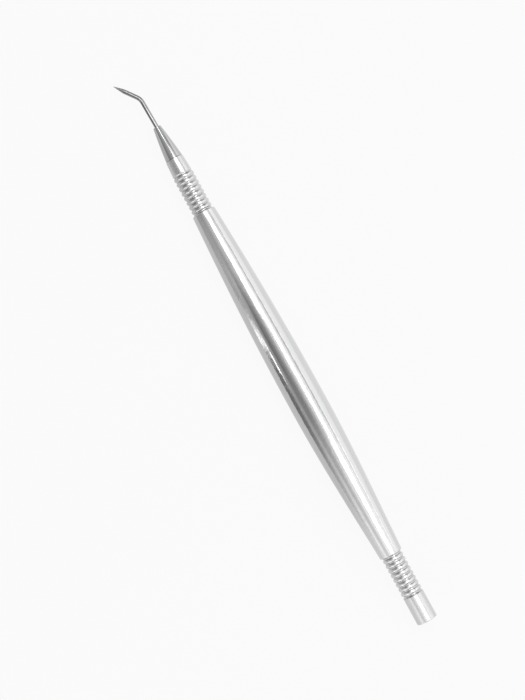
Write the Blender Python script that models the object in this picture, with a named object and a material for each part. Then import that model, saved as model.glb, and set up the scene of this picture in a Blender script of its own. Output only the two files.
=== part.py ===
"""Lash lift tool: a bent needle in a screw-on cone, two ringed grips, a spindle-shaped barrel and an end cap.

The tool lies along world X with the needle towards +X and its bend towards +Y, resting on its belly at Z = 0.
Each turned piece is modelled along its own Z axis, from the flat rear end up to the needle, and the empty
called tool_axis lays them all down.
"""

import math

import bmesh
import bpy
from mathutils import Vector
from mathutils.geometry import interpolate_bezier

# Facets of every turned piece, with a facet, not a corner, facing straight down
SIDES = 32
FACET_TURN = math.pi / SIDES
WELD_DISTANCE = 0.000001

# Fits between pieces
SEAM_GAP = 0.00008
BORE_CLEARANCE = 0.00005
NEEDLE_CLEARANCE = 0.00004

# Small edge broken on every end face
EDGE_BREAK = 0.00005

# Finger rings, shared by both grips: each ring's crest is rounded at both sides, down to the groove's wall
RING_COUNT = 8
GROOVE_WIDTH = 0.00055
GROOVE_DEPTH = 0.0003
GROOVE_FLOOR_SHARE = 0.3
RING_LAND = 0.00003
RING_ROUND_WIDTH = 0.00015
RING_ROUND_DROP = 0.00008

# Rear grip
REAR_RING_PITCH = 0.0012
REAR_RING_RADIUS = 0.0025

# End cap, the plain round end, a small step below the rings
CAP_LENGTH = 0.00668
CAP_STEP = 0.00003
CAP_CHAMFER = 0.00015

# Barrel, a spindle bored right through
BARREL_LENGTH = 0.08822
BARREL_REAR_RADIUS = 0.00275
BARREL_BELLY_RADIUS = 0.00425
BARREL_FRONT_RADIUS = 0.00277
BARREL_BORE_RADIUS = 0.00195
BARREL_CHAMFER = 0.00015
BELLY_PLACE_SHARE = 0.4445
REAR_SWELL_SHARE = 0.487
REAR_RISE_SHARE = 0.644
REAR_BELLY_SHARE = 0.315
FRONT_BELLY_SHARE = 0.35
FRONT_SWELL_SHARE = 0.37
FRONT_RISE_SHARE = 0.673
SPINDLE_STEPS = 12

# Front grip, with its smooth neck
FRONT_RING_PITCH = 0.00117
FRONT_RING_RADIUS = 0.00247
NECK_LENGTH = 0.00368
NECK_REAR_RADIUS = 0.00231
NECK_FRONT_RADIUS = 0.00211

# Spigot of each grip, inside the barrel
SPIGOT_LENGTH = 0.008
SPIGOT_CHAMFER = 0.0003

# Threaded studs, and the tapped sockets that take them
THREAD_RADIUS = 0.00125
THREAD_PITCH = 0.00045
THREAD_DEPTH = 0.00026
THREAD_RINGS = 5
STUD_LENGTH = 0.0045
STUD_RELIEF = 0.0006
SOCKET_SPARE = 0.0007
SOCKET_CHAMFER = 0.00015
DRILL_POINT = 0.0005

# Tip cone, a small step below the neck behind it, with solid metal left behind the needle's bore
CONE_LENGTH = 0.00815
CONE_STEP = 0.00008
CONE_FRONT_RADIUS = 0.00092
CONE_BULGE = 0.00006
CONE_WEB = 0.00166
CONE_STEPS = 6

# Needle: a straight shank, one bend, and a pick ground to a point
NEEDLE_RADIUS = 0.00051
NEEDLE_REACH = 0.00735
NEEDLE_LEAN = math.radians(1.4)
BEND_ANGLE = math.radians(35.3)
BEND_RADIUS = 0.0028
BEND_STEPS = 8
PICK_LENGTH = 0.00676
POINT_LENGTH = 0.0027
POINT_RADIUS = 0.00004
POINT_TAPER = 1.1
POINT_STEPS = 6

# Lengths that follow from the sizes above
GROOVE_TURN_IN = GROOVE_WIDTH * (1 - GROOVE_FLOOR_SHARE) / 2
REAR_RINGS_LENGTH = RING_COUNT * REAR_RING_PITCH + GROOVE_WIDTH + 2 * RING_LAND
FRONT_RINGS_LENGTH = RING_COUNT * FRONT_RING_PITCH + GROOVE_WIDTH + 2 * RING_LAND
CAP_RADIUS = REAR_RING_RADIUS - CAP_STEP
CONE_REAR_RADIUS = NECK_FRONT_RADIUS - CONE_STEP
SPIGOT_RADIUS = BARREL_BORE_RADIUS - BORE_CLEARANCE
SOCKET_RADIUS = THREAD_RADIUS + BORE_CLEARANCE
SOCKET_DEPTH = STUD_LENGTH + SOCKET_SPARE
NEEDLE_BORE_RADIUS = NEEDLE_RADIUS + NEEDLE_CLEARANCE
NEEDLE_BORE_DEPTH = CONE_LENGTH - CONE_WEB - NEEDLE_BORE_RADIUS
SHANK_LENGTH = NEEDLE_BORE_DEPTH - SEAM_GAP

# Stations along the tool, from the flat rear end
CAP_FRONT = CAP_LENGTH
REAR_GRIP_BACK = CAP_FRONT + SEAM_GAP
REAR_GRIP_SHOULDER = REAR_GRIP_BACK + REAR_RINGS_LENGTH
BARREL_BACK = REAR_GRIP_SHOULDER + SEAM_GAP
BELLY = BARREL_BACK + BARREL_LENGTH * BELLY_PLACE_SHARE
BARREL_FRONT = BARREL_BACK + BARREL_LENGTH
FRONT_GRIP_SHOULDER = BARREL_FRONT + SEAM_GAP
NECK_BACK = FRONT_GRIP_SHOULDER + FRONT_RINGS_LENGTH
FRONT_GRIP_FRONT = NECK_BACK + NECK_LENGTH
CONE_BACK = FRONT_GRIP_FRONT + SEAM_GAP
CONE_FRONT = CONE_BACK + CONE_LENGTH


def metal(name, colour, roughness):
    """A plain metal."""
    material = bpy.data.materials.new(name)
    material.use_nodes = True
    shader = material.node_tree.nodes["Principled BSDF"]
    shader.inputs["Base Color"].default_value = (*colour, 1)
    shader.inputs["Metallic"].default_value = 1
    shader.inputs["Roughness"].default_value = roughness
    material.diffuse_color = (*colour, 1)
    return material


def outline_ring(radius, height):
    """A corner of an outline: the facets, not their corners, lie at the stated radius."""
    return Vector((radius, radius * math.tan(FACET_TURN), height))


def turned(name, outline, material, parent, closed=False):
    """A turned piece, from (radius, height) points that run round its section. A closed outline has a bore through."""
    mesh = bpy.data.meshes.new(name)
    built = bmesh.new()
    corners = [built.verts.new(outline_ring(radius, height)) for radius, height in outline]
    edges = [built.edges.new(pair) for pair in zip(corners, corners[1:])]
    if closed:
        edges.append(built.edges.new((corners[-1], corners[0])))
    bmesh.ops.spin(
        built,
        geom=corners + edges,
        cent=(0, 0, 0),
        axis=(0, 0, 1),
        angle=2 * math.pi,
        steps=SIDES,
        use_merge=True,
    )
    bmesh.ops.remove_doubles(built, verts=built.verts, dist=WELD_DISTANCE)
    bmesh.ops.recalc_face_normals(built, faces=built.faces)
    built.to_mesh(mesh)
    built.free()
    mesh.shade_smooth()
    mesh.set_sharp_from_angle(angle=math.radians(28))
    mesh.materials.append(material)
    piece = bpy.data.objects.new(name, mesh)
    piece.parent = parent
    bpy.context.scene.collection.objects.link(piece)
    return piece


def ring_outline(start, pitch, crest):
    """The finger rings' outline from start to their end face: a groove, then a ring and a groove for each ring."""
    floor = crest - GROOVE_DEPTH
    shoulder = crest - RING_ROUND_DROP
    points = [(shoulder, start)]
    for index in range(RING_COUNT + 1):
        back = start + RING_LAND + index * pitch
        front = back + GROOVE_WIDTH
        points += [
            (shoulder, back),
            (floor, back + GROOVE_TURN_IN),
            (floor, front - GROOVE_TURN_IN),
            (shoulder, front),
        ]
        if index < RING_COUNT:
            points += [
                (crest, front + RING_ROUND_WIDTH),
                (crest, back + pitch - RING_ROUND_WIDTH),
            ]
    points.append((shoulder, front + RING_LAND))
    return points


def socket_outline(mouth, inward):
    """A blind tapped socket's outline from its mouth to its drill point; inward is 1 up the axis and -1 down it."""
    return [
        (SOCKET_RADIUS + SOCKET_CHAMFER, mouth),
        (SOCKET_RADIUS, mouth + inward * SOCKET_CHAMFER),
        (SOCKET_RADIUS, mouth + inward * SOCKET_DEPTH),
        (0, mouth + inward * (SOCKET_DEPTH + DRILL_POINT)),
    ]


def stud_heights():
    """Distances from the shoulder of a stud at which its outline has a corner."""
    threaded = STUD_LENGTH - STUD_RELIEF
    count = round(threaded / THREAD_PITCH * THREAD_RINGS)
    return [STUD_RELIEF + threaded * index / count for index in range(count + 1)]


def stud_outline(shoulder, outward):
    """A stud's outline from its shoulder to its end, at the thread's root; outward is 1 up the axis and -1 down it."""
    root = THREAD_RADIUS - THREAD_DEPTH
    points = [(root, shoulder)]
    points += [(root, shoulder + outward * height) for height in stud_heights()]
    points.append((0, shoulder + outward * STUD_LENGTH))
    return points


def raise_thread(piece, shoulder, outward):
    """Lifts a stud's wall into one right-hand helical ridge, which fades in and out over one turn at each end."""
    threaded = STUD_LENGTH - STUD_RELIEF
    for vertex in piece.data.vertices:
        height = (vertex.co.z - shoulder) * outward - STUD_RELIEF
        if height < 0:
            continue
        turn = math.atan2(vertex.co.y, vertex.co.x) / (2 * math.pi)
        phase = (vertex.co.z / THREAD_PITCH - turn) % 1
        ridge = 1 - abs(2 * phase - 1)
        fade = min(1, height / THREAD_PITCH, (threaded - height) / THREAD_PITCH)
        grow = 1 + THREAD_DEPTH * ridge * fade / (THREAD_RADIUS - THREAD_DEPTH)
        vertex.co.x *= grow
        vertex.co.y *= grow


def spindle_outline():
    """The barrel's outside from its rear face to its front face, as two curves that meet level at the belly."""
    rear_length = BELLY - BARREL_BACK
    front_length = BARREL_FRONT - BELLY
    rear_rise = (BARREL_BELLY_RADIUS - BARREL_REAR_RADIUS) * REAR_RISE_SHARE
    front_rise = (BARREL_BELLY_RADIUS - BARREL_FRONT_RADIUS) * FRONT_RISE_SHARE
    rear = interpolate_bezier(
        Vector((BARREL_REAR_RADIUS, BARREL_BACK)),
        Vector((BARREL_REAR_RADIUS + rear_rise, BARREL_BACK + rear_length * REAR_SWELL_SHARE)),
        Vector((BARREL_BELLY_RADIUS, BELLY - rear_length * REAR_BELLY_SHARE)),
        Vector((BARREL_BELLY_RADIUS, BELLY)),
        SPINDLE_STEPS,
    )
    front = interpolate_bezier(
        Vector((BARREL_BELLY_RADIUS, BELLY)),
        Vector((BARREL_BELLY_RADIUS, BELLY + front_length * FRONT_BELLY_SHARE)),
        Vector((BARREL_FRONT_RADIUS + front_rise, BARREL_FRONT - front_length * FRONT_SWELL_SHARE)),
        Vector((BARREL_FRONT_RADIUS, BARREL_FRONT)),
        SPINDLE_STEPS,
    )
    curve = [(point.x, point.y) for point in rear + front[1:]]
    curve[0] = (BARREL_REAR_RADIUS, BARREL_BACK + BARREL_CHAMFER)
    curve[-1] = (BARREL_FRONT_RADIUS, BARREL_FRONT - BARREL_CHAMFER)
    return curve


def make_end_cap(material, parent):
    """The plain round end, with its stud pointing up into the rear grip."""
    outline = [
        (0, 0),
        (CAP_RADIUS - CAP_CHAMFER, 0),
        (CAP_RADIUS, CAP_CHAMFER),
        (CAP_RADIUS, CAP_FRONT - EDGE_BREAK),
        (CAP_RADIUS - EDGE_BREAK, CAP_FRONT),
    ]
    cap = turned("end_cap", outline + stud_outline(CAP_FRONT, 1), material, parent)
    raise_thread(cap, CAP_FRONT, 1)
    return cap


def make_rear_grip(material, parent):
    """The ringed insert behind the barrel: a socket at its free end and a spigot in the barrel."""
    outline = socket_outline(REAR_GRIP_BACK, 1)[::-1]
    outline += ring_outline(REAR_GRIP_BACK, REAR_RING_PITCH, REAR_RING_RADIUS)
    outline += [
        (SPIGOT_RADIUS, REAR_GRIP_SHOULDER),
        (SPIGOT_RADIUS, REAR_GRIP_SHOULDER + SPIGOT_LENGTH - SPIGOT_CHAMFER),
        (SPIGOT_RADIUS - SPIGOT_CHAMFER, REAR_GRIP_SHOULDER + SPIGOT_LENGTH),
        (0, REAR_GRIP_SHOULDER + SPIGOT_LENGTH),
    ]
    return turned("rear_grip", outline, material, parent)


def make_barrel(material, parent):
    """The spindle-shaped barrel, bored through, with a chamfer round each end face."""
    outline = [(BARREL_REAR_RADIUS - BARREL_CHAMFER, BARREL_BACK)]
    outline += spindle_outline()
    outline += [
        (BARREL_FRONT_RADIUS - BARREL_CHAMFER, BARREL_FRONT),
        (BARREL_BORE_RADIUS, BARREL_FRONT),
        (BARREL_BORE_RADIUS, BARREL_BACK),
    ]
    return turned("handle_barrel", outline, material, parent, closed=True)


def make_front_grip(material, parent):
    """The ringed insert before the barrel: a spigot in the barrel, rings, a smooth neck, and a socket for the cone."""
    outline = [
        (0, FRONT_GRIP_SHOULDER - SPIGOT_LENGTH),
        (SPIGOT_RADIUS - SPIGOT_CHAMFER, FRONT_GRIP_SHOULDER - SPIGOT_LENGTH),
        (SPIGOT_RADIUS, FRONT_GRIP_SHOULDER - SPIGOT_LENGTH + SPIGOT_CHAMFER),
        (SPIGOT_RADIUS, FRONT_GRIP_SHOULDER),
    ]
    outline += ring_outline(FRONT_GRIP_SHOULDER, FRONT_RING_PITCH, FRONT_RING_RADIUS)
    outline += [
        (NECK_REAR_RADIUS, NECK_BACK),
        (NECK_FRONT_RADIUS, FRONT_GRIP_FRONT - EDGE_BREAK),
        (NECK_FRONT_RADIUS - EDGE_BREAK, FRONT_GRIP_FRONT),
    ]
    outline += socket_outline(FRONT_GRIP_FRONT, -1)
    return turned("front_grip", outline, material, parent)


def make_tip_cone(material, parent):
    """The steel cone: a stud pointing down into the front grip, a slightly full flank, and a bore for the needle."""
    outline = stud_outline(CONE_BACK, -1)[::-1]
    outline += [(CONE_REAR_RADIUS - EDGE_BREAK, CONE_BACK)]
    flank_back = CONE_BACK + EDGE_BREAK
    flank_front = CONE_FRONT - EDGE_BREAK
    for index in range(CONE_STEPS + 1):
        along = index / CONE_STEPS
        radius = CONE_REAR_RADIUS + (CONE_FRONT_RADIUS - CONE_REAR_RADIUS) * along
        radius += CONE_BULGE * math.sin(math.pi * along)
        outline.append((radius, flank_back + (flank_front - flank_back) * along))
    outline += [
        (CONE_FRONT_RADIUS - EDGE_BREAK, CONE_FRONT),
        (NEEDLE_BORE_RADIUS, CONE_FRONT),
        (NEEDLE_BORE_RADIUS, CONE_FRONT - NEEDLE_BORE_DEPTH),
        (0, CONE_FRONT - NEEDLE_BORE_DEPTH - NEEDLE_BORE_RADIUS),
    ]
    cone = turned("tip_cone", outline, material, parent)
    raise_thread(cone, CONE_BACK, -1)
    return cone


def needle_line():
    """The needle's centre line and its radius at each point, as (sideways, height, radius)."""
    elbow = Vector((NEEDLE_REACH * math.tan(NEEDLE_LEAN), CONE_FRONT + NEEDLE_REACH))
    along_reach = Vector((math.sin(NEEDLE_LEAN), math.cos(NEEDLE_LEAN)))
    pick_slope = NEEDLE_LEAN + BEND_ANGLE
    along_pick = Vector((math.sin(pick_slope), math.cos(pick_slope)))
    points = [
        (Vector((0, CONE_FRONT - SHANK_LENGTH)), NEEDLE_RADIUS),
        (Vector((0, CONE_FRONT)), NEEDLE_RADIUS),
    ]
    cut_back = BEND_RADIUS * math.tan(BEND_ANGLE / 2)
    centre = elbow - along_reach * cut_back
    centre += Vector((along_reach.y, -along_reach.x)) * BEND_RADIUS
    for index in range(BEND_STEPS + 1):
        slope = NEEDLE_LEAN + BEND_ANGLE * index / BEND_STEPS
        spoke = Vector((-math.cos(slope), math.sin(slope)))
        points.append((centre + spoke * BEND_RADIUS, NEEDLE_RADIUS))
    for index in range(POINT_STEPS + 1):
        share = index / POINT_STEPS
        place = elbow + along_pick * (PICK_LENGTH - POINT_LENGTH * (1 - share))
        points.append((place, NEEDLE_RADIUS + (POINT_RADIUS - NEEDLE_RADIUS) * share ** POINT_TAPER))
    return [(place.x, place.y, radius) for place, radius in points]


def make_needle(material, parent):
    """The bent steel wire, as a round bevelled curve that thins to its point."""
    line = needle_line()
    curve = bpy.data.curves.new("pick_needle", "CURVE")
    curve.dimensions = "3D"
    curve.bevel_depth = NEEDLE_RADIUS
    curve.bevel_resolution = 4
    curve.use_fill_caps = True
    spline = curve.splines.new("POLY")
    spline.points.add(len(line) - 1)
    for point, (sideways, height, radius) in zip(spline.points, line):
        point.co = (0, sideways, height, 1)
        point.radius = radius / NEEDLE_RADIUS
    curve.materials.append(material)
    needle = bpy.data.objects.new("pick_needle", curve)
    needle.parent = parent
    bpy.context.scene.collection.objects.link(needle)
    return needle


def axis_empty(name, parent=None):
    """An empty on the tool's axis, to which the pieces of one body are parented."""
    empty = bpy.data.objects.new(name, None)
    empty.parent = parent
    bpy.context.scene.collection.objects.link(empty)
    return empty


def build():
    """Makes the whole tool."""
    for item in list(bpy.data.objects):
        bpy.data.objects.remove(item)
    aluminium = metal("satin_aluminium", (0.80, 0.81, 0.82), 0.28)
    bright_aluminium = metal("bright_aluminium", (0.84, 0.85, 0.86), 0.18)
    cone_steel = metal("polished_steel", (0.42, 0.43, 0.44), 0.15)
    needle_steel = metal("needle_steel", (0.50, 0.51, 0.53), 0.12)

    tool_axis = axis_empty("tool_axis")
    tip_axis = axis_empty("tip_axis", tool_axis)
    cap_axis = axis_empty("cap_axis", tool_axis)
    make_end_cap(bright_aluminium, cap_axis)
    make_rear_grip(bright_aluminium, tool_axis)
    make_barrel(aluminium, tool_axis)
    make_front_grip(bright_aluminium, tool_axis)
    make_tip_cone(cone_steel, tip_axis)
    make_needle(needle_steel, tip_axis)

    overall_length = needle_line()[-1][1]
    tool_axis.rotation_euler = (0, math.pi / 2, 0)
    tool_axis.location = (-overall_length / 2, 0, BARREL_BELLY_RADIUS)
    bpy.context.view_layer.update()


build()
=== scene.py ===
import math

import bmesh
import bpy
from mathutils import Euler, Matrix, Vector
from mathutils.geometry import interpolate_bezier


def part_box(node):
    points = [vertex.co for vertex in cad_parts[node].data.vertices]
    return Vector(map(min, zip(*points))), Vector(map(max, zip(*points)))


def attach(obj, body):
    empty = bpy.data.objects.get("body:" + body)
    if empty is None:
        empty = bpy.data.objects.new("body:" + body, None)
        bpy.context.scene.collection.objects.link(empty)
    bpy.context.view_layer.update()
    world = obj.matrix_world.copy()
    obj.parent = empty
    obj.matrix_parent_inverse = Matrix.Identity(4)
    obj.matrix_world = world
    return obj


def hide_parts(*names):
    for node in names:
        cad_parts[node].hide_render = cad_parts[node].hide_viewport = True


mm = 0.001
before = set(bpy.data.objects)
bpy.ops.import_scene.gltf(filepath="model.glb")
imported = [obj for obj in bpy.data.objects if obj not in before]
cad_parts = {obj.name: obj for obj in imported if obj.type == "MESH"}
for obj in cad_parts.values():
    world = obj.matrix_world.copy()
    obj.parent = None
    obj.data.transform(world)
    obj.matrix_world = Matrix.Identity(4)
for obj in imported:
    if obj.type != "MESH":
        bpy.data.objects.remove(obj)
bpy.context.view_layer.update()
print("frame loaded:", ", ".join(sorted(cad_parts)))

# Places read from the frame: the tool lies along X, needle towards +X, bend towards +Y
barrelLow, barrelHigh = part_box("handle_barrel")
frontGripLow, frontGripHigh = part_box("front_grip")
rearGripLow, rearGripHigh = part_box("rear_grip")
coneLow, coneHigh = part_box("tip_cone")
capLow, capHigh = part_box("end_cap")
needleLow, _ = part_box("pick_needle")
axisHeight = (barrelLow.z + barrelHigh.z) / 2

# Fits, roundings and fineness that every turned piece shares
fits = {
    "seam": 0.08 * mm,
    "segments": 144,
    "filletSteps": 4,
    "filletShare": 0.45,  # how much of a side its fillet may take
    "flatCorner": 89,  # degrees; a corner with a wider half angle than this stays as it is
    "longEdge": 0.28 * mm,
    "hold": 0.03 * mm,
    "axisRadius": 0.001 * mm,
    "shadingWeight": 60,
}

camera = {
    "aboveAxis": 430 * mm,
    "turn": -118.747,  # degrees, which leans the tool as in the photograph
    "centreX": 1.521 * mm,
    "centreY": 3.297 * mm,
    "framedHeight": 158.42 * mm,
    "sensor": 36,
    "clipStart": 10 * mm,
    "clipEnd": 100,
}


def setUpCamera():
    data = bpy.data.cameras.new("topCamera")
    data.sensor_width = camera["sensor"]
    data.lens = camera["sensor"] * camera["aboveAxis"] / camera["framedHeight"]
    data.clip_start = camera["clipStart"]
    data.clip_end = camera["clipEnd"]
    topCamera = addObject("topCamera", data)
    topCamera.location = (camera["centreX"], camera["centreY"], axisHeight + camera["aboveAxis"])
    topCamera.rotation_euler = Euler((0, 0, math.radians(camera["turn"])))
    bpy.context.scene.camera = topCamera


def addObject(name, data):
    added = bpy.data.objects.new(name, data)
    bpy.context.scene.collection.objects.link(added)
    return added


# Node helpers

nodeGrid = {"perRow": 8, "across": 200, "down": 220}


def feed(tree, socket, value):
    # Links a socket to another one, or sets it to a plain value
    if isinstance(value, bpy.types.NodeSocket):
        tree.links.new(value, socket)
    else:
        socket.default_value = value


def place(tree, kind, inputs=None, **settings):
    made = tree.nodes.new(kind)
    row, column = divmod(len(tree.nodes), nodeGrid["perRow"])
    made.location = (nodeGrid["across"] * column, -nodeGrid["down"] * row)
    for name, value in settings.items():
        setattr(made, name, value)
    for name, value in (inputs or {}).items():
        feed(tree, made.inputs[name], value)
    return made


def calc(tree, operation, first, second=0.0):
    return place(tree, "ShaderNodeMath", {0: first, 1: second}, operation=operation).outputs[0]


def ramp(tree, value, low, high, start=0.0, end=1.0):
    # A soft step from start to end while value goes from low to high
    made = place(
        tree,
        "ShaderNodeMapRange",
        {"Value": value, "From Min": low, "From Max": high, "To Min": start, "To Max": end},
        interpolation_type="SMOOTHSTEP",
    )
    return made.outputs["Result"]


def noise(tree, inputs, **settings):
    return place(tree, "ShaderNodeTexNoise", inputs, **settings).outputs[0]


def objectPlace(tree):
    return place(tree, "ShaderNodeTexCoord").outputs["Object"]


def newGroup(name, inputs, outputs):
    # A node group with float inputs and their defaults, and float outputs
    group = bpy.data.node_groups.new(name, "ShaderNodeTree")
    for socketName, value in inputs.items():
        socket = group.interface.new_socket(name=socketName, in_out="INPUT", socket_type="NodeSocketFloat")
        socket.default_value = value
    for socketName in outputs:
        group.interface.new_socket(name=socketName, in_out="OUTPUT", socket_type="NodeSocketFloat")
    start = place(group, "NodeGroupInput")
    end = place(group, "NodeGroupOutput")
    return group, start.outputs, end


def finishGroup(group, end, results):
    for socketName, value in results.items():
        group.links.new(value, end.inputs[socketName])
    return group


def useGroup(tree, group, **inputs):
    return place(tree, "ShaderNodeGroup", inputs, node_tree=group).outputs


# Shared surface effects, each built once as a node group. In their values, a pair of numbers is where a mask
# starts and where it is full.

def buildToolPlace():
    # Where a point is on the tool: how far along, how far from the axis, and which way round
    group, _, end = newGroup("toolPlace", {}, ["along", "radius", "aroundY", "aroundZ"])
    parts = place(group, "ShaderNodeSeparateXYZ", {0: objectPlace(group)}).outputs
    up = calc(group, "SUBTRACT", parts["Z"], axisHeight)
    sideSquare = calc(group, "MULTIPLY", parts["Y"], parts["Y"])
    upSquare = calc(group, "MULTIPLY", up, up)
    radius = calc(group, "SQRT", calc(group, "ADD", sideSquare, upSquare))
    safeRadius = calc(group, "MAXIMUM", radius, fits["axisRadius"])
    return finishGroup(group, end, {
        "along": parts["X"],
        "radius": radius,
        "aroundY": calc(group, "DIVIDE", parts["Y"], safeRadius),
        "aroundZ": calc(group, "DIVIDE", up, safeRadius),
    })


markLook = {"driftScale": 1.3, "driftDetail": 1.0, "detail": 3.0, "roughness": 0.65, "mask": (0.42, 0.68)}


def buildTurningMarks():
    # The fine rings that a lathe tool leaves, also on end faces, a little uneven round the piece
    group, given, end = newGroup("turningMarks", {"pitch": 0.06 * mm, "wander": 0.4}, ["height", "mask"])
    where = useGroup(group, toolPlace)
    drift = place(group, "ShaderNodeCombineXYZ", {0: where["aroundY"], 1: where["aroundZ"]}).outputs[0]
    wobble = noise(group, {
        "Vector": drift,
        "Scale": markLook["driftScale"],
        "Detail": markLook["driftDetail"],
    })
    run = calc(group, "ADD", where["along"], where["radius"])
    turns = calc(group, "DIVIDE", run, given["pitch"])
    turns = calc(group, "ADD", turns, calc(group, "MULTIPLY", wobble, given["wander"]))
    marks = noise(
        group,
        {"W": turns, "Scale": 1.0, "Detail": markLook["detail"], "Roughness": markLook["roughness"]},
        noise_dimensions="1D",
    )
    return finishGroup(group, end, {"height": marks, "mask": ramp(group, marks, *markLook["mask"])})


def stretchedNoise(group, length, count, detail):
    # Noise drawn out to a length along the tool; the count says how finely it changes on the way round
    where = useGroup(group, toolPlace)
    stretched = place(group, "ShaderNodeCombineXYZ", {
        0: calc(group, "DIVIDE", where["along"], length),
        1: calc(group, "MULTIPLY", where["aroundY"], count),
        2: calc(group, "MULTIPLY", where["aroundZ"], count),
    }).outputs[0]
    return noise(group, {"Vector": stretched, "Scale": 1.0, "Detail": detail})


grainLook = {"detail": 4.0, "mask": (0.38, 0.66)}


def buildLengthGrain():
    # Fine streaks that run along the tool, from the last polish
    group, given, end = newGroup("lengthGrain", {"fineness": 60.0, "length": 6 * mm}, ["height", "mask"])
    streaks = stretchedNoise(group, given["length"], given["fineness"], grainLook["detail"])
    return finishGroup(group, end, {"height": streaks, "mask": ramp(group, streaks, *grainLook["mask"])})


waveLook = {"detail": 2.0}


def buildPolishWaves():
    # The slight waviness of a hand-polished surface
    group, given, end = newGroup("polishWaves", {"length": 5 * mm, "count": 3.0}, ["height"])
    waves = stretchedNoise(group, given["length"], given["count"], waveLook["detail"])
    return finishGroup(group, end, {"height": waves})


scratchLook = {
    "turns": (0.16, -0.42),  # radians, one for each direction
    "scale": (90, 2600, 2600),
    "detail": 2.0,
    "middle": 0.5,  # the noise value that a scratch follows
    "width": (0.004, 0.016),
    "patchScale": 210.0,
    "patchDetail": 1.0,
    "patches": (0.5, 0.66),
}


def buildFineScratches():
    # Sparse hairline scratches in two directions, kept to some areas
    group, given, end = newGroup("fineScratches", {"amount": 0.5}, ["mask"])
    spot = objectPlace(group)
    layers = []
    for turn in scratchLook["turns"]:
        turned = place(group, "ShaderNodeMapping", {
            "Vector": spot,
            "Rotation": (turn, turn / 2, turn),
            "Scale": scratchLook["scale"],
        }).outputs[0]
        lines = noise(group, {"Vector": turned, "Scale": 1.0, "Detail": scratchLook["detail"]})
        offset = calc(group, "ABSOLUTE", calc(group, "SUBTRACT", lines, scratchLook["middle"]))
        layers.append(ramp(group, offset, *scratchLook["width"], 1.0, 0.0))
    cloud = {"Vector": spot, "Scale": scratchLook["patchScale"], "Detail": scratchLook["patchDetail"]}
    kept = ramp(group, noise(group, cloud), *scratchLook["patches"])
    both = calc(group, "MULTIPLY", calc(group, "MAXIMUM", *layers), kept)
    return finishGroup(group, end, {"mask": calc(group, "MULTIPLY", both, given["amount"])})


smudgeLook = {"detail": 3.0, "distortion": 0.6, "mask": (0.45, 0.72)}


def buildSmudges():
    # Faint finger marks that dull the polish in soft patches
    group, given, end = newGroup("smudges", {"scale": 160.0}, ["mask"])
    cloud = noise(group, {
        "Vector": objectPlace(group),
        "Scale": given["scale"],
        "Detail": smudgeLook["detail"],
        "Distortion": smudgeLook["distortion"],
    })
    return finishGroup(group, end, {"mask": ramp(group, cloud, *smudgeLook["mask"])})


grooveShadeLook = {
    "wipedHeight": 0.05 * mm,  # how far above the floor the part kept lighter ends
    "breakupScale": 2200.0,
    "breakupDetail": 3.0,
    "breakup": (0.25, 0.6),
}


def buildPaintedGrooveShade():
    # Painted shade low between rings and threads, full at the floor radius and gone at the crest, up to a
    # station.
    # The floor itself is kept lighter by as much as its share says.
    inputs = {"floor": 2 * mm, "crest": 2.4 * mm, "upTo": 0.0, "wiped": 0.0}
    group, given, end = newGroup("paintedGrooveShade", inputs, ["mask"])
    where = useGroup(group, toolPlace)
    wipedTop = calc(group, "ADD", given["floor"], grooveShadeLook["wipedHeight"])
    floorSpared = ramp(group, where["radius"], given["floor"], wipedTop, 1.0, 0.0)
    left = calc(group, "SUBTRACT", 1.0, calc(group, "MULTIPLY", floorSpared, given["wiped"]))
    within = calc(group, "LESS_THAN", where["along"], given["upTo"])
    breakup = noise(group, {
        "Vector": objectPlace(group),
        "Scale": grooveShadeLook["breakupScale"],
        "Detail": grooveShadeLook["breakupDetail"],
    })
    mask = ramp(group, where["radius"], given["floor"], given["crest"], 1.0, 0.0)
    for share in (left, within, ramp(group, breakup, *grooveShadeLook["breakup"])):
        mask = calc(group, "MULTIPLY", mask, share)
    return finishGroup(group, end, {"mask": mask})


wearLook = {"flat": 0.5}  # the Pointiness of a flat place


def buildEdgeWear():
    # Edges rubbed bright by handling
    group, given, end = newGroup("edgeWear", {"sharpness": 0.04}, ["mask"])
    pointed = place(group, "ShaderNodeNewGeometry").outputs["Pointiness"]
    limit = calc(group, "ADD", given["sharpness"], wearLook["flat"])
    return finishGroup(group, end, {"mask": ramp(group, pointed, wearLook["flat"], limit)})


toolPlace = buildToolPlace()
turningMarks = buildTurningMarks()
lengthGrain = buildLengthGrain()
polishWaves = buildPolishWaves()
fineScratches = buildFineScratches()
smudges = buildSmudges()
paintedGrooveShade = buildPaintedGrooveShade()
edgeWear = buildEdgeWear()
print("surface effects built:", len(bpy.data.node_groups))


# Materials

def startMaterial(name, metallic):
    material = bpy.data.materials.new(name)
    material.use_nodes = True
    tree = material.node_tree
    shader = tree.nodes["Principled BSDF"]
    shader.inputs["Metallic"].default_value = metallic
    return material, tree, shader


def mixColours(tree, factor, first, second):
    made = place(tree, "ShaderNodeMix", {"Factor": factor}, data_type="RGBA")
    for name, value in (("A", first), ("B", second)):
        socket = next(s for s in made.inputs if s.name == name and s.type == "RGBA")
        feed(tree, socket, (*value, 1) if isinstance(value, tuple) else value)
    return next(s for s in made.outputs if s.type == "RGBA")


def bumpFrom(tree, heights):
    # Chains one Bump node for each (height, depth in metres)
    normal = None
    for height, depth in heights:
        inputs = {"Height": height, "Distance": depth, "Strength": 1.0}
        if normal is not None:
            inputs["Normal"] = normal
        normal = place(tree, "ShaderNodeBump", inputs).outputs[0]
    return normal


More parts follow.
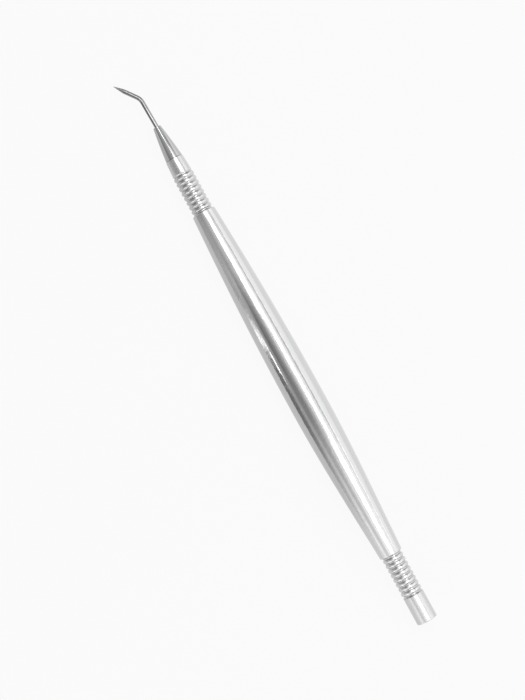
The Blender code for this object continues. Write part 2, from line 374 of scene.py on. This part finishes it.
def makeMetal(finish):
    # One turned and polished metal, from the values of a finish dictionary
    material, tree, shader = startMaterial(finish["name"], 1.0)
    marks = useGroup(tree, turningMarks, pitch=finish["markPitch"], wander=finish["markWander"])
    grain = useGroup(tree, lengthGrain, fineness=finish["grainFineness"], length=finish["grainLength"])
    waves = useGroup(tree, polishWaves, length=finish["waveLength"], count=finish["waveCount"])
    mottle = useGroup(tree, polishWaves, length=finish["mottleLength"], count=finish["mottleCount"])
    satin = useGroup(tree, polishWaves, length=finish["satinLength"], count=finish["satinCount"])
    scratches = useGroup(tree, fineScratches, amount=finish["scratches"])
    marksOfHands = useGroup(tree, smudges, scale=finish["smudgeScale"])
    worn = useGroup(tree, edgeWear, sharpness=finish["wornSharpness"])

    colour = mixColours(tree, grain["mask"], finish["colour"], finish["grainColour"])
    dulling = [
        calc(tree, "MULTIPLY", marks["mask"], finish["markRoughness"]),
        ramp(tree, satin["height"], *finish["satinPatches"], 0.0, finish["satinRoughness"]),
        calc(tree, "MULTIPLY", marksOfHands["mask"], finish["smudgeRoughness"]),
        calc(tree, "MULTIPLY", scratches["mask"], finish["scratchRoughness"]),
    ]
    if "grooveShade" in finish:
        grooveShade = useGroup(
            tree,
            paintedGrooveShade,
            floor=finish["grooveShadeFloor"],
            crest=finish["grooveShadeCrest"],
            upTo=finish["grooveShadeUpTo"],
            wiped=finish["grooveShadeSpared"],
        )
        # Painted shade: the colour darkens low in the grooves, by this share, towards the shade colour
        grooveShadeShare = calc(tree, "MULTIPLY", grooveShade["mask"], finish["grooveShade"])
        colour = mixColours(tree, grooveShadeShare, colour, finish["grooveShadeColour"])
        dulling.append(calc(tree, "MULTIPLY", grooveShadeShare, finish["grooveShadeRoughness"]))
    wornShare = calc(tree, "MULTIPLY", worn["mask"], finish["worn"])
    colour = mixColours(tree, wornShare, colour, finish["wornColour"])
    tree.links.new(colour, shader.inputs["Base Color"])

    rough = finish["roughness"]
    for extra in dulling:
        rough = calc(tree, "ADD", rough, extra)
    tree.links.new(rough, shader.inputs["Roughness"])

    normal = bumpFrom(tree, [
        (waves["height"], finish["waveDepth"]),
        (mottle["height"], finish["mottleDepth"]),
        (grain["height"], finish["grainDepth"]),
        (marks["height"], finish["markDepth"]),
        (scratches["mask"], -finish["scratchDepth"]),
    ])
    tree.links.new(normal, shader.inputs["Normal"])
    return material


# Every other finish starts from the barrel's and changes some of its values
barrelFinish = {
    "name": "satinBarrel",
    "colour": (0.655, 0.657, 0.66),
    "grainColour": (0.63, 0.632, 0.636),
    "wornColour": (0.74, 0.74, 0.74),
    "worn": 0.5,
    "wornSharpness": 0.05,
    "roughness": 0.07,
    "markPitch": 0.05 * mm,
    "markWander": 0.5,
    "markRoughness": 0.03,
    "markDepth": 0.0002 * mm,
    "grainFineness": 46.0,
    "grainLength": 7 * mm,
    "grainDepth": 0.0006 * mm,
    "waveLength": 4 * mm,
    "waveCount": 3.6,
    "waveDepth": 0.015 * mm,
    "mottleLength": 1.1 * mm,
    "mottleCount": 11.0,
    "mottleDepth": 0.01 * mm,
    "satinLength": 0.5 * mm,
    "satinCount": 16.0,
    "satinPatches": (0.4, 0.7),
    "satinRoughness": 0.08,
    "scratches": 0.6,
    "scratchRoughness": 0.12,
    "scratchDepth": 0.0008 * mm,
    "smudgeScale": 150.0,
    "smudgeRoughness": 0.03,
}

bareNeckLength = 3.68 * mm  # in front of the rings, where no painted groove shade goes

frontGripFinishAndShade = dict(
    barrelFinish,
    name="frontGripMetal",
    # Painted shade: this colour and its grain colour are a little darker than the barrel's, though both are
    # the same aluminium
    colour=(0.645, 0.645, 0.65),
    grainColour=(0.62, 0.62, 0.625),
    roughness=0.19,
    markPitch=0.04 * mm,
    markDepth=0.0003 * mm,
    waveLength=3 * mm,
    waveDepth=0.01 * mm,
    mottleDepth=0.003 * mm,
    satinRoughness=0.06,
    # The values below paint shade low in the grooves between the rings
    grooveShade=0.34,
    grooveShadeColour=(0.30, 0.30, 0.30),
    grooveShadeRoughness=0.4,
    grooveShadeFloor=2.1 * mm,
    grooveShadeCrest=2.4 * mm,
    grooveShadeUpTo=frontGripHigh.x - bareNeckLength,
    grooveShadeSpared=0.5,
)

rearGripFinishAndLight = dict(
    frontGripFinishAndShade,
    name="rearGripMetal",
    # Painted light: this colour and its grain colour are a little lighter than the front grip's and the
    # barrel's, though all are the same aluminium
    colour=(0.66, 0.66, 0.665),
    grainColour=(0.635, 0.635, 0.64),
    roughness=0.13,
    # Stronger painted shade in the rear rings' grooves
    grooveShade=0.5,
    grooveShadeFloor=2.19 * mm,
    grooveShadeCrest=2.47 * mm,
    grooveShadeSpared=0.9,
)

capFinishAndShade = dict(
    frontGripFinishAndShade,
    name="satinCap",
    # Painted shade: this colour and its grain colour are a little darker than the barrel's, though both are
    # the same aluminium
    colour=(0.64, 0.64, 0.645),
    grainColour=(0.61, 0.61, 0.615),
    markRoughness=0.05,
    satinRoughness=0.03,
    # Painted shade low in the stud's thread
    grooveShade=0.5,
    grooveShadeFloor=1.0 * mm,
    grooveShadeCrest=1.2 * mm,
)

coneFinish = dict(
    barrelFinish,
    name="darkCone",
    colour=(0.52, 0.522, 0.528),
    grainColour=(0.49, 0.492, 0.50),
    wornColour=(0.6, 0.6, 0.6),
    roughness=0.09,
    markPitch=0.035 * mm,
    waveLength=3 * mm,
    waveDepth=0.006 * mm,
    mottleDepth=0.001 * mm,
    satinRoughness=0.05,
    # Painted shade low in the stud's thread, darker than on the grips
    grooveShade=0.6,
    grooveShadeColour=(0.16, 0.16, 0.16),
    grooveShadeRoughness=0.25,
    grooveShadeFloor=0.99 * mm,
    grooveShadeCrest=1.2 * mm,
    grooveShadeUpTo=frontGripHigh.x,
    grooveShadeSpared=0.0,
)

needleFinish = dict(
    barrelFinish,
    name="needleWire",
    colour=(0.34, 0.342, 0.346),
    grainColour=(0.315, 0.317, 0.321),
    wornColour=(0.5, 0.5, 0.5),
    grainFineness=14.0,
    grainLength=2.5 * mm,
    grainDepth=0.0002 * mm,
    waveLength=2.5 * mm,
    waveCount=1.5,
    waveDepth=0.0005 * mm,
    mottleDepth=0.0002 * mm,
    satinRoughness=0.04,
    scratches=0.4,
    scratchDepth=0.0003 * mm,
)

barrelMetal = makeMetal(barrelFinish)
frontGripMetal = makeMetal(frontGripFinishAndShade)
rearGripMetal = makeMetal(rearGripFinishAndLight)
capMetal = makeMetal(capFinishAndShade)
coneMetal = makeMetal(coneFinish)
needleMetal = makeMetal(needleFinish)
print("materials built:", len(bpy.data.materials))


# Shapes: every turned piece is an outline of (along X, radius, corner rounding) swept round the axis

def roundCorners(corners):
    points = []
    for index, (along, radius, rounding) in enumerate(corners):
        here = Vector((along, radius))
        if rounding <= 0 or index in (0, len(corners) - 1):
            points.append(here)
            continue
        before = Vector(corners[index - 1][:2]) - here
        after = Vector(corners[index + 1][:2]) - here
        half = before.angle(after) / 2
        if half > math.radians(fits["flatCorner"]):
            points.append(here)
            continue
        share = fits["filletShare"]
        reach = min(rounding / math.tan(half), share * before.length, share * after.length)
        first = here + before.normalized() * reach
        last = here + after.normalized() * reach
        middle = (before.normalized() + after.normalized()).normalized()
        centre = here + middle * (reach / math.cos(half))
        spread = math.pi / 2 - half
        # A ring just before and after the fillet keeps a long face beside it evenly shaded
        if before.length > fits["longEdge"]:
            points.append(first + before.normalized() * fits["hold"])
        for step in range(fits["filletSteps"] + 1):
            turn = spread * (2 * step / fits["filletSteps"] - 1)
            side = (last - first).normalized()
            offset = -middle * math.cos(turn) + side * math.sin(turn)
            points.append(centre + offset * (reach * math.tan(half)))
        if after.length > fits["longEdge"]:
            points.append(last + after.normalized() * fits["hold"])
    return [(point.x, max(point.y, 0)) for point in points]


def addPiece(name, made, material):
    # Turns a finished bmesh into a smooth-shaded object
    bmesh.ops.recalc_face_normals(made, faces=made.faces)
    mesh = bpy.data.meshes.new(name)
    made.to_mesh(mesh)
    made.free()
    mesh.shade_smooth()
    mesh.materials.append(material)
    return addObject(name, mesh)


def turnPiece(name, outline, material):
    # An outline that starts and ends on the axis makes a solid; any other is closed into a ring with a bore
    segments = fits["segments"]
    made = bmesh.new()
    rounds = []
    for along, radius in outline:
        if radius < fits["axisRadius"]:
            rounds.append([made.verts.new((along, 0, axisHeight))] * segments)
            continue
        points = []
        for step in range(segments):
            turn = 2 * math.pi * step / segments
            side, up = radius * math.sin(turn), radius * math.cos(turn)
            points.append(made.verts.new((along, side, axisHeight + up)))
        rounds.append(points)
    if outline[0][1] >= fits["axisRadius"]:
        rounds.append(rounds[0])
    for points, nextPoints in zip(rounds, rounds[1:]):
        for step in range(segments):
            other = (step + 1) % segments
            loop = [points[step], points[other], nextPoints[other], nextPoints[step]]
            corners = [v for index, v in enumerate(loop) if v not in loop[:index]]
            if len(corners) > 2:
                made.faces.new(corners)
    piece = addPiece(name, made, material)
    evenShading = piece.modifiers.new("evenShading", "WEIGHTED_NORMAL")
    evenShading.weight = fits["shadingWeight"]
    return piece


def seat(piece, node, body):
    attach(piece, body)
    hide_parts(node)
    print("piece made:", piece.name, len(piece.data.vertices), "points")


# Studs and tapped sockets
threads = {
    "crestRadius": 1.25 * mm,
    "depth": 0.26 * mm,
    "pitch": 0.45 * mm,
    "crestFlat": 1.25,  # 1 is a sharp crest, more is a flatter one
    "relief": 0.6 * mm,
    "reliefRounding": 0.05 * mm,
    "endChamfer": 0.2 * mm,
    "endRounding": 0.03 * mm,
    "ringsPerTurn": 14,
    "socketRadius": 1.3 * mm,
    "socketSpare": 0.7 * mm,
    "socketChamfer": 0.15 * mm,
    "socketRidge": 0.035 * mm,
    "mouthRounding": 0.02 * mm,
    "drillPoint": 0.5 * mm,
    "drillRounding": 0.03 * mm,
    "wallTolerance": 0.01 * mm,
}
threadRoot = threads["crestRadius"] - threads["depth"]
threadSpacing = threads["pitch"] / threads["ringsPerTurn"]


def studCorners(shoulder, end):
    # A stud from its shoulder to its free end on the axis, at the root of its thread
    way = math.copysign(1, end - shoulder)
    length = abs(end - shoulder)
    corners = [(shoulder, threadRoot, threads["reliefRounding"])]
    count = int((length - threads["relief"] - threads["endChamfer"]) / threadSpacing)
    for index in range(count + 1):
        corners.append((shoulder + way * (threads["relief"] + threadSpacing * index), threadRoot, 0))
    corners.append((end, threadRoot - threads["endChamfer"], threads["endRounding"]))
    corners.append((end, 0, 0))
    return corners


def socketCorners(mouth, depth, way):
    # A tapped hole from its mouth to its drill point; way is 1 towards +X and -1 towards -X
    radius, chamfer = threads["socketRadius"], threads["socketChamfer"]
    corners = [
        (mouth, radius + chamfer, threads["mouthRounding"]),
        (mouth + way * chamfer, radius, 0),
    ]
    count = int((depth - 2 * chamfer) / threadSpacing)
    for index in range(1, count + 1):
        corners.append((mouth + way * (chamfer + threadSpacing * index), radius, 0))
    corners.append((mouth + way * depth, radius, threads["drillRounding"]))
    corners.append((mouth + way * (depth + threads["drillPoint"]), 0, 0))
    return corners


def smoothStep(share):
    return share * share * (3 - 2 * share)


def cutThread(piece, start, end, wallRadius, height):
    # Winds a right-hand ridge round the wall between two stations, fading at both ends
    low, high = min(start, end), max(start, end)
    for vertex in piece.data.vertices:
        across = Vector((vertex.co.y, vertex.co.z - axisHeight))
        offWall = abs(across.length - wallRadius) > threads["wallTolerance"]
        if offWall or not low <= vertex.co.x <= high:
            continue
        turn = math.atan2(-across.y, across.x) / (2 * math.pi)
        phase = (vertex.co.x / threads["pitch"] - turn) % 1
        ridge = smoothStep(min(1, threads["crestFlat"] * (1 - abs(2 * phase - 1))))
        fade = min(1, (vertex.co.x - low) / threads["pitch"], (high - vertex.co.x) / threads["pitch"])
        across *= 1 + height * ridge * fade / wallRadius
        vertex.co.y = across.x
        vertex.co.z = axisHeight + across.y


def threadStud(piece, shoulder, end):
    way = math.copysign(1, end - shoulder)
    start = shoulder + way * threads["relief"]
    cutThread(piece, start, end - way * threads["endChamfer"], threadRoot, threads["depth"])


def threadSocket(piece, mouth, depth, way):
    start = mouth + way * threads["socketChamfer"]
    cutThread(piece, start, mouth + way * depth, threads["socketRadius"], -threads["socketRidge"])


# Finger rings, the same in both grips but for pitch, crest and depth
rings = {
    "count": 8,
    "grooveWidth": 0.55 * mm,
    "rearDepth": 0.31 * mm,
    "frontDepth": 0.27 * mm,
    "floorShare": 0.3,
    "land": 0.03 * mm,
    "roundWidth": 0.15 * mm,
    "roundDrop": 0.08 * mm,
    "crestRounding": 0.3 * mm,
    "shoulderRounding": 0.16 * mm,
    "floorRounding": 0.1 * mm,
}


def ringCorners(start, pitch, crest, depth):
    # Grooves and rounded rings by turns, from one end face of the ringed length to the other
    floor = crest - depth
    shoulder = crest - rings["roundDrop"]
    turnIn = rings["grooveWidth"] * (1 - rings["floorShare"]) / 2
    corners = [(start, shoulder, 0)]
    for index in range(rings["count"] + 1):
        back = start + rings["land"] + index * pitch
        front = back + rings["grooveWidth"]
        corners.append((back, shoulder, rings["shoulderRounding"] if index else 0))
        corners.append((back + turnIn, floor, rings["floorRounding"]))
        corners.append((front - turnIn, floor, rings["floorRounding"]))
        corners.append((front, shoulder, rings["shoulderRounding"] if index < rings["count"] else 0))
        if index < rings["count"]:
            corners.append((front + rings["roundWidth"], crest, rings["crestRounding"]))
            corners.append((back + pitch - rings["roundWidth"], crest, rings["crestRounding"]))
    corners.append((front + rings["land"], shoulder, 0))
    return corners


# Barrel: two curves that meet level at the belly, bored through
barrel = {
    "rearRadius": 2.75 * mm,
    "frontRadius": 2.77 * mm,
    "boreRadius": 1.95 * mm,
    "chamfer": 0.12 * mm,
    "edgeRounding": 0.08 * mm,
    "bellyPlaceShare": 0.4445,
    "rearSwellShare": 0.487,
    "rearRiseShare": 0.644,
    "rearBellyShare": 0.315,
    "frontBellyShare": 0.35,
    "frontSwellShare": 0.37,
    "frontRiseShare": 0.673,
    "steps": 44,
}


def spindleCurve():
    rear, front = barrelLow.x, barrelHigh.x
    belly = rear + (front - rear) * barrel["bellyPlaceShare"]
    bellyRadius = (barrelHigh.z - barrelLow.z) / 2
    rearRise = (bellyRadius - barrel["rearRadius"]) * barrel["rearRiseShare"]
    frontRise = (bellyRadius - barrel["frontRadius"]) * barrel["frontRiseShare"]
    rearHalf = interpolate_bezier(
        Vector((rear, barrel["rearRadius"])),
        Vector((rear + (belly - rear) * barrel["rearSwellShare"], barrel["rearRadius"] + rearRise)),
        Vector((belly - (belly - rear) * barrel["rearBellyShare"], bellyRadius)),
        Vector((belly, bellyRadius)),
        barrel["steps"],
    )
    frontHalf = interpolate_bezier(
        Vector((belly, bellyRadius)),
        Vector((belly + (front - belly) * barrel["frontBellyShare"], bellyRadius)),
        Vector((front - (front - belly) * barrel["frontSwellShare"], barrel["frontRadius"] + frontRise)),
        Vector((front, barrel["frontRadius"])),
        barrel["steps"],
    )
    return [(point.x, point.y, 0) for point in rearHalf[1:] + frontHalf[1:-1]]


def makeBarrel():
    rear, front = barrelLow.x, barrelHigh.x
    chamfer, rounding = barrel["chamfer"], barrel["edgeRounding"]
    corners = [
        (rear, barrel["boreRadius"], 0),
        (rear, barrel["rearRadius"] - chamfer, rounding),
        (rear + chamfer, barrel["rearRadius"], rounding),
    ]
    corners += spindleCurve()
    corners += [
        (front - chamfer, barrel["frontRadius"], rounding),
        (front, barrel["frontRadius"] - chamfer, rounding),
        (front, barrel["boreRadius"], 0),
    ]
    piece = turnPiece("handleBarrel", roundCorners(corners), barrelMetal)
    seat(piece, "handle_barrel", "handle")


# Grips: ringed inserts with a spigot in the barrel and a tapped socket at the free end
grips = {
    "rearPitch": 1.2 * mm,
    "rearCrest": 2.5 * mm,
    "frontPitch": 1.17 * mm,
    "frontCrest": 2.47 * mm,
    "spigotRadius": 1.9 * mm,
    "spigotChamfer": 0.3 * mm,
    "spigotRounding": 0.05 * mm,
    "neckRearRadius": 2.31 * mm,
    "neckFrontRadius": 2.11 * mm,
    "edgeBreak": 0.025 * mm,
    "edgeRounding": 0.02 * mm,
}


def spigotCorners(shoulder, end):
    # The plain length in the barrel's bore, from the grip's shoulder to the spigot's end on the axis
    way = math.copysign(1, end - shoulder)
    radius, chamfer, rounding = grips["spigotRadius"], grips["spigotChamfer"], grips["spigotRounding"]
    return [
        (shoulder, radius, 0),
        (end - way * chamfer, radius, rounding),
        (end, radius - chamfer, rounding),
        (end, 0, 0),
    ]


def makeRearGrip():
    back = rearGripLow.x
    shoulder = barrelLow.x - fits["seam"]
    depth = capHigh.x - back + fits["seam"] + threads["socketSpare"]
    corners = socketCorners(back, depth, 1)[::-1]
    corners += ringCorners(back, grips["rearPitch"], grips["rearCrest"], rings["rearDepth"])
    corners += spigotCorners(shoulder, rearGripHigh.x)
    piece = turnPiece("rearGrip", roundCorners(corners), rearGripMetal)
    threadSocket(piece, back, depth, 1)
    seat(piece, "rear_grip", "handle")


def makeFrontGrip():
    shoulder = barrelHigh.x + fits["seam"]
    face = frontGripHigh.x
    neckBack = shoulder + rings["count"] * grips["frontPitch"] + rings["grooveWidth"] + 2 * rings["land"]
    depth = face - coneLow.x + fits["seam"] + threads["socketSpare"]
    corners = spigotCorners(shoulder, frontGripLow.x)[::-1]
    corners += ringCorners(shoulder, grips["frontPitch"], grips["frontCrest"], rings["frontDepth"])
    corners += [
        (neckBack, grips["neckRearRadius"], grips["edgeRounding"]),
        (face - grips["edgeBreak"], grips["neckFrontRadius"], grips["edgeRounding"]),
        (face, grips["neckFrontRadius"] - grips["edgeBreak"], grips["edgeRounding"]),
    ]
    corners += socketCorners(face, depth, -1)
    piece = turnPiece("frontGrip", roundCorners(corners), frontGripMetal)
    threadSocket(piece, face, depth, -1)
    seat(piece, "front_grip", "handle")


# End cap: the plain round end, with its threaded stud
cap = {
    "radius": 2.47 * mm,
    "chamfer": 0.12 * mm,
    "rounding": 0.1 * mm,
    "edgeBreak": 0.05 * mm,
    "edgeRounding": 0.03 * mm,
}


def makeEndCap():
    back = capLow.x
    front = rearGripLow.x - fits["seam"]
    corners = [
        (back, 0, 0),
        (back, cap["radius"] - cap["chamfer"], cap["rounding"]),
        (back + cap["chamfer"], cap["radius"], cap["rounding"]),
        (front - cap["edgeBreak"], cap["radius"], cap["edgeRounding"]),
        (front, cap["radius"] - cap["edgeBreak"], cap["edgeRounding"]),
    ]
    corners += studCorners(front, capHigh.x)
    piece = turnPiece("endCap", roundCorners(corners), capMetal)
    threadStud(piece, front, capHigh.x)
    seat(piece, "end_cap", "cap")


# Tip cone: a slightly full flank, a threaded stud behind and the needle's bore in front
cone = {
    "rearRadius": 2.03 * mm,
    "frontRadius": 0.92 * mm,
    "bulge": 0.06 * mm,
    "edgeBreak": 0.025 * mm,
    "rounding": 0.02 * mm,
    "boreRadius": 0.55 * mm,
    "boreRounding": 0.02 * mm,
    "steps": 28,
}


def makeTipCone():
    back = frontGripHigh.x + fits["seam"]
    face = coneHigh.x
    boreEnd = needleLow.x - fits["seam"]
    corners = studCorners(back, coneLow.x)[::-1]
    corners.append((back, cone["rearRadius"] - cone["edgeBreak"], cone["rounding"]))
    flankBack = back + cone["edgeBreak"]
    flankFace = face - cone["edgeBreak"]
    for step in range(cone["steps"] + 1):
        share = step / cone["steps"]
        radius = cone["rearRadius"] + (cone["frontRadius"] - cone["rearRadius"]) * share
        radius += cone["bulge"] * math.sin(math.pi * share)
        rounding = cone["rounding"] if step in (0, cone["steps"]) else 0
        corners.append((flankBack + (flankFace - flankBack) * share, radius, rounding))
    corners += [
        (face, cone["frontRadius"] - cone["edgeBreak"], cone["rounding"]),
        (face, cone["boreRadius"], cone["boreRounding"]),
        (boreEnd, cone["boreRadius"], 0),
        (boreEnd - cone["boreRadius"], 0, 0),
    ]
    piece = turnPiece("tipCone", roundCorners(corners), coneMetal)
    threadStud(piece, back, coneLow.x)
    seat(piece, "tip_cone", "tip")


# Needle: a straight wire, one bend, and a pick ground to a point
needle = {
    "radius": 0.51 * mm,
    "reach": 7.35 * mm,
    "lean": 1.4,  # degrees
    "bendAngle": 35.3,  # degrees
    "bendRadius": 2.8 * mm,
    "bendSteps": 28,
    "pickLength": 6.76 * mm,
    "pointLength": 2.7 * mm,
    "pointRadius": 0.04 * mm,
    "pointTaper": 1.1,
    "pointSteps": 26,
    "segments": 64,
    "sharpAngle": 50,  # degrees
}


def needleStations():
    # (place in the XY plane, slope, half width) from the shank's end to the point
    lean = math.radians(needle["lean"])
    bend = math.radians(needle["bendAngle"])
    radius = needle["radius"]
    face = coneHigh.x
    elbow = Vector((face + needle["reach"], needle["reach"] * math.tan(lean)))
    alongReach = Vector((math.cos(lean), math.sin(lean)))
    alongPick = Vector((math.cos(lean + bend), math.sin(lean + bend)))
    stations = [
        (Vector((needleLow.x, 0)), 0, radius),
        (Vector((face - radius, 0)), 0, radius),
        (Vector((face + radius, radius * math.tan(lean))), lean, radius),
    ]
    cutBack = needle["bendRadius"] * math.tan(bend / 2)
    centre = elbow - alongReach * cutBack + Vector((-alongReach.y, alongReach.x)) * needle["bendRadius"]
    for step in range(needle["bendSteps"] + 1):
        slope = lean + bend * step / needle["bendSteps"]
        spoke = Vector((math.sin(slope), -math.cos(slope)))
        stations.append((centre + spoke * needle["bendRadius"], slope, radius))
    for step in range(needle["pointSteps"] + 1):
        share = step / needle["pointSteps"]
        spot = elbow + alongPick * (needle["pickLength"] - needle["pointLength"] * (1 - share))
        width = radius + (needle["pointRadius"] - radius) * share ** needle["pointTaper"]
        stations.append((spot, lean + bend, width))
    return stations


def makeNeedle():
    made = bmesh.new()
    segments = needle["segments"]
    loops = []
    for spot, slope, width in needleStations():
        loop = []
        for step in range(segments):
            turn = 2 * math.pi * step / segments
            across = width * math.cos(turn)
            loop.append(made.verts.new((
                spot.x - math.sin(slope) * across,
                spot.y + math.cos(slope) * across,
                axisHeight + width * math.sin(turn),
            )))
        loops.append(loop)
    for loop, nextLoop in zip(loops, loops[1:]):
        for step in range(segments):
            other = (step + 1) % segments
            made.faces.new((loop[step], loop[other], nextLoop[other], nextLoop[step]))
    made.faces.new(loops[0])
    made.faces.new(loops[-1])
    piece = addPiece("pickNeedle", made, needleMetal)
    piece.data.set_sharp_from_angle(angle=math.radians(needle["sharpAngle"]))
    seat(piece, "pick_needle", "tip")


makeBarrel()
makeRearGrip()
makeFrontGrip()
makeEndCap()
makeTipCone()
makeNeedle()


# Floor: a pale light table, evenly bright to the camera, but less bright in the metal on the +Y side
table = {
    "size": 4.0,
    "paper": 0.04,
    "roughness": 0.9,
    "glowNear": 0.97,
    "glowFar": 0.71,
    "glowFarRear": 0.83,
    "glowBlur": 6 * mm,
    "rearFrom": -52 * mm,
    "rearTo": -40 * mm,
    "cameraGlow": 0.918,
}


def twoStrengths(tree, reflected, seen):
    # One brightness in the metal and another straight to the camera
    direct = place(tree, "ShaderNodeLightPath").outputs["Is Camera Ray"]
    return place(tree, "ShaderNodeMix", {0: direct, 2: reflected, 3: seen}, data_type="FLOAT").outputs[0]


def makeTable():
    half = table["size"] / 2
    mesh = bpy.data.meshes.new("lightTable")
    corners = [(-half, -half, 0), (half, -half, 0), (half, half, 0), (-half, half, 0)]
    mesh.from_pydata(corners, [], [(0, 1, 2, 3)])
    material, tree, shader = startMaterial("paleTable", 0.0)
    shader.inputs["Base Color"].default_value = (table["paper"], table["paper"], table["paper"], 1)
    shader.inputs["Roughness"].default_value = table["roughness"]
    shader.inputs["Specular IOR Level"].default_value = 0.0
    shader.inputs["Emission Color"].default_value = (1, 1, 1, 1)
    parts = place(tree, "ShaderNodeSeparateXYZ", {0: objectPlace(tree)}).outputs
    far = ramp(tree, parts["X"], table["rearFrom"], table["rearTo"], table["glowFarRear"], table["glowFar"])
    glow = ramp(tree, parts["Y"], -table["glowBlur"], table["glowBlur"], table["glowNear"], far)
    tree.links.new(twoStrengths(tree, glow, table["cameraGlow"]), shader.inputs["Emission Strength"])
    mesh.materials.append(material)
    floor = addObject("lightTable", mesh)


# Light: a half-round tent over the tool, lined with soft panels. Each panel is placed by its tilt, in degrees
# from straight up towards +Y, and by where it starts and ends along X.
tent = {
    "radius": 300 * mm,
    "halfLength": 1.2,
    "facets": 72,
    "room": 0.21,
    "darkest": 0.12,
    "backdrop": 0.965,
    "backdropInMetal": 0.6,
    "panels": [
        # (light, tilt from, tilt to, blur, X from, X to, blur), X in mm; a light below zero is a dark flag
        # The long highlight of the barrel and the grips
        (2.40, -27, -1, 13, -140, 143, 14),
        (1.20, -19, -8, 6, 34, 94, 5),
        (0.50, -19, -8, 6, -140, -66, 24),
        (3.20, -25, -17, 8, -62, 34, 10),
        # The cone's highlight
        (1.90, -26, -8, 6, 147, 166, 8),
        (1.05, -18, -7, 4, 166, 214, 10),
        (1.60, -14, -6, 3, 187, 214, 6),
        (3.00, -14, -7, 3, 178, 214, 12),
        (0.30, -60, -22, 12, 182, 210, 12),
        # A flag that narrows the belly's highlight, and a dim strip beyond it
        (-1.55, -16, -1, 8, -62, 34, 12),
        (0.25, -4, 14, 14, -900, 900, 20),
        (0.50, 0, 16, 20, -900, -75, 90),
        # The -Y side: two broad panels with a dimmer one between them
        (1.05, -100, -55, 6, -900, 180, 70),
        (-0.11, -100, -82, 10, -900, 900, 20),
        (0.52, -58, -41, 5, -900, 180, 70),
        (0.27, -58, -41, 5, -900, -46, 24),
        (0.13, -58, -41, 5, -900, -94, 16),
        (0.97, -43, -25, 5, -900, 180, 70),
        (-0.26, -43, -25, 8, 76, 118, 12),
        # The +Y side
        (0.28, 8, 110, 16, 46, 900, 44),
        (0.26, 43, 63, 14, -200, 60, 30),
        (0.70, 8, 110, 16, -900, -80, 110),
        (0.09, 52, 68, 10, -900, -100, 24),
        (0.18, 52, 110, 12, -900, -100, 24),
        (0.09, 5, 29, 8, -900, 88, 16),
        (0.07, 5, 29, 8, 52, 84, 14),
        (0.06, 5, 29, 8, -98, -38, 20),
        (0.09, 29, 41, 8, -76, -8, 20),
        (0.15, 62, 110, 12, 28, 62, 16),
        (0.30, 68, 110, 10, 12, 35, 12),
        (0.55, 60, 100, 10, 10.5, 28, 6),
        (0.85, 57, 100, 8, 9.5, 20, 3),
        (4.20, 60, 62.5, 2, -6, 10.5, 4),
        (0.30, 4, 16, 8, 109, 140, 6),
        (0.15, 36, 100, 8, 105.5, 140, 4),
        # The cone, the neck and the front rings
        (-0.36, -60, -27, 8, 152, 180, 12),
        (0.38, 67, 110, 6, 138, 212, 10),
        (-0.13, 40, 62, 10, 152, 206, 12),
        (0.75, -78, -38, 8, 97, 103.5, 3),
        (2.10, -32, 9, 8, 97, 105, 3),
        (-0.22, -82, -36, 8, 107.5, 117, 4),
        (-0.50, -38, 10, 6, 107.5, 117, 4),
        (-0.60, -27, -1, 10, 120, 144, 6),
        (-0.60, 36, 104, 8, 94, 102, 3),
        (4.40, -14, 0, 4, 118, 147, 4),
        # Past the needle, past the cap, and two flags on the +Y side
        (1.10, -44, 12, 14, 214, 380, 12),
        (0.08, 80, 110, 8, -900, -104, 12),
        (0.42, 34, 76, 12, -900, -134, 8),
        (-0.20, 32, 74, 10, 119, 150, 6),
        (-0.24, 30, 110, 10, 222, 900, 12),
    ],
}


def panelLight(tree, tilt, along, panel):
    light, tiltFrom, tiltTo, tiltBlur, alongFrom, alongTo, alongBlur = panel
    product = light
    sides = ((tilt, tiltFrom, tiltTo, tiltBlur), (along, alongFrom, alongTo, alongBlur))
    for value, low, high, blur in sides:
        rise = ramp(tree, value, low - blur / 2, low + blur / 2)
        fall = ramp(tree, value, high - blur / 2, high + blur / 2, 1.0, 0.0)
        product = calc(tree, "MULTIPLY", calc(tree, "MULTIPLY", rise, fall), product)
    return product


def makeTent():
    points, faces = [], []
    facets = tent["facets"]
    for side in (-1, 1):
        for step in range(facets + 1):
            tilt = math.pi * (step / facets - 0.5)
            points.append((
                side * tent["halfLength"],
                tent["radius"] * math.sin(tilt),
                axisHeight + tent["radius"] * math.cos(tilt),
            ))
    for step in range(facets):
        faces.append((step, step + 1, facets + 2 + step, facets + 1 + step))
    mesh = bpy.data.meshes.new("lightTent")
    mesh.from_pydata(points, [], faces)
    mesh.shade_smooth()
    lining = addObject("lightTent", mesh)
    lining.visible_camera = False
    material = bpy.data.materials.new("tentPanels")
    material.use_nodes = True
    tree = material.node_tree
    tree.nodes.clear()
    parts = place(tree, "ShaderNodeSeparateXYZ", {0: objectPlace(tree)}).outputs
    up = calc(tree, "SUBTRACT", parts["Z"], axisHeight)
    tilt = calc(tree, "DEGREES", calc(tree, "ARCTAN2", parts["Y"], up))
    along = calc(tree, "DIVIDE", parts["X"], mm)
    total = tent["room"]
    for panel in tent["panels"]:
        total = calc(tree, "ADD", panelLight(tree, tilt, along, panel), total)
    total = calc(tree, "MAXIMUM", total, tent["darkest"])
    glow = place(tree, "ShaderNodeEmission", {"Color": (1, 1, 1, 1), "Strength": total})
    output = place(tree, "ShaderNodeOutputMaterial")
    tree.links.new(glow.outputs[0], output.inputs["Surface"])
    mesh.materials.append(material)


def lightTheScene():
    world = bpy.data.worlds.new("paleRoom")
    bpy.context.scene.world = world
    world.use_nodes = True
    tree = world.node_tree
    tree.nodes.clear()
    strength = twoStrengths(tree, tent["backdropInMetal"], tent["backdrop"])
    background = place(tree, "ShaderNodeBackground", {"Color": (1, 1, 1, 1), "Strength": strength})
    output = place(tree, "ShaderNodeOutputWorld")
    tree.links.new(background.outputs[0], output.inputs["Surface"])
    bpy.context.scene.view_settings.view_transform = "Standard"


makeTable()
makeTent()
lightTheScene()
setUpCamera()
print("floor, light and camera set")
